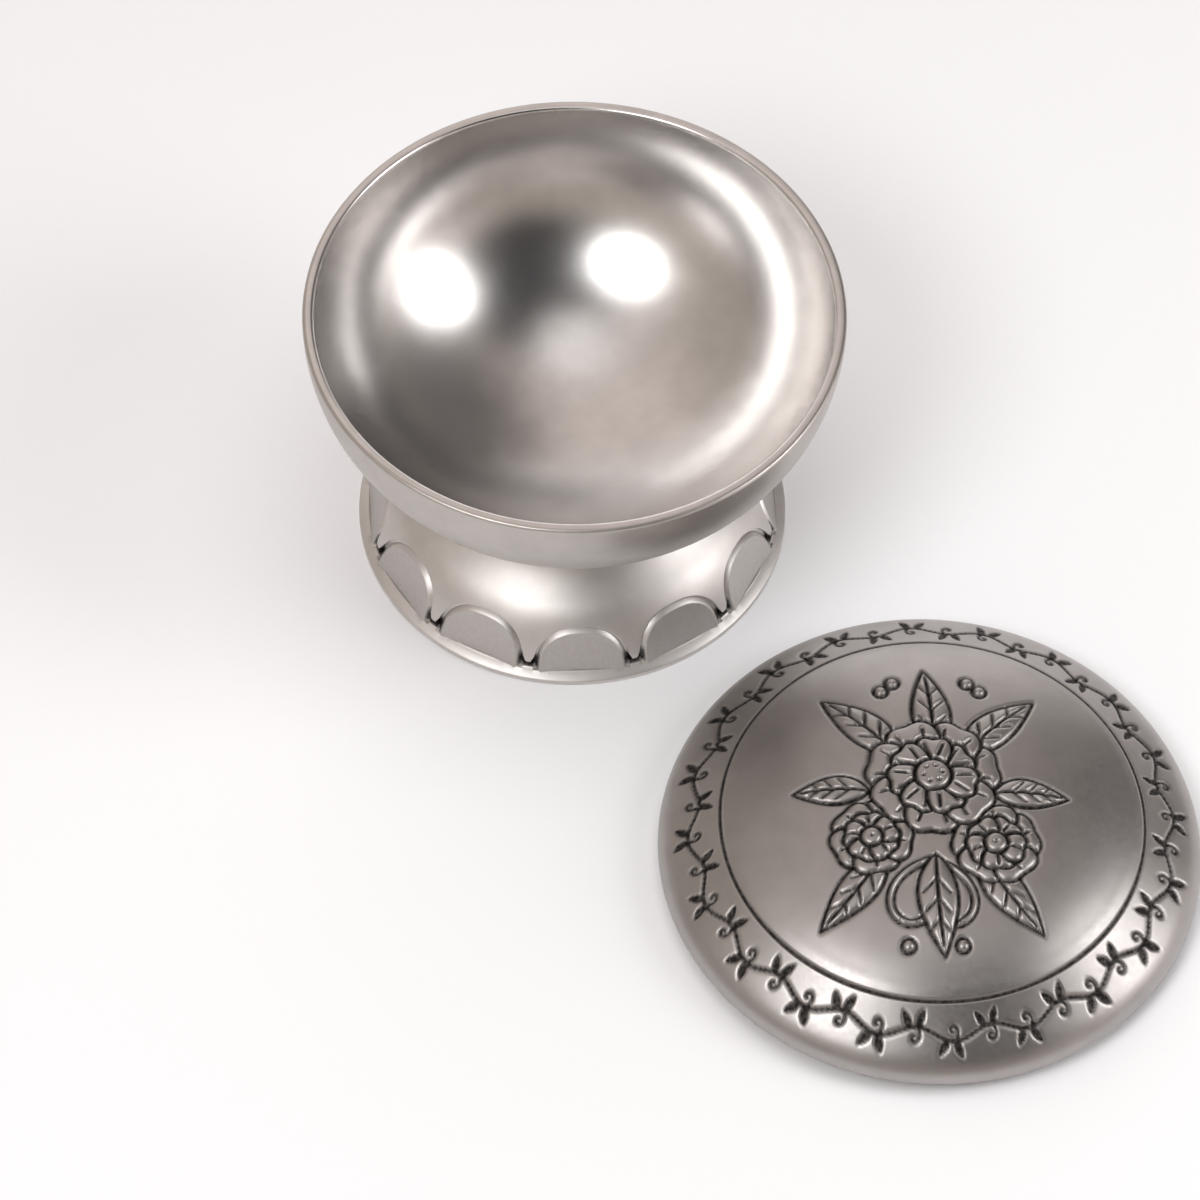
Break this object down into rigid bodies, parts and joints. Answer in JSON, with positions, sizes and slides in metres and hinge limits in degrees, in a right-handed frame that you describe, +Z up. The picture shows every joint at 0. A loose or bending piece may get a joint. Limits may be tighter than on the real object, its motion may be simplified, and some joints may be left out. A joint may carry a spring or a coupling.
{
  "type": "trinket box",
  "caption": "Round footed keepsake box: a cup on a flared pedestal with arched petals, and a loose domed lid with a relief medallion, shown lying beside it.",
  "frame": {"origin": "centre of the footprint of the bowl and the lid beside it, on the surface that they stand on", "axes": "+Z up, +X to the right and -Y to the front in the picture; the bowl is at -X +Y and the lid at +X -Y"},
  "size_m": [0.127, 0.135, 0.0474],
  "materials": {
    "bowl_metal": "satin silver plate on cast zinc alloy, smoother inside the cup",
    "foot_metal": "satin silver plate on cast zinc alloy, antiqued dark in the creases round the petals",
    "lid_metal": "satin silver plate on cast zinc alloy, antiqued dark in the relief and the incised ring",
    "ring_metal": "satin silver plate",
    "fixing_metal": "zinc plated steel"
  },
  "bodies": {
    "footed_bowl": {"bowl": "bowl_metal", "pedestal_foot": "foot_metal", "foot_screw": "fixing_metal", "foot_washer": "fixing_metal"},
    "lid": {"lid": "lid_metal", "lid_locating_ring": "ring_metal"}
  },
  "joints": [
    {"name": "lid_lift", "type": "slide", "parent": "footed_bowl", "child": "lid", "axis": [0, 0, 1], "range_m": [0, 0.08]}
  ]
}
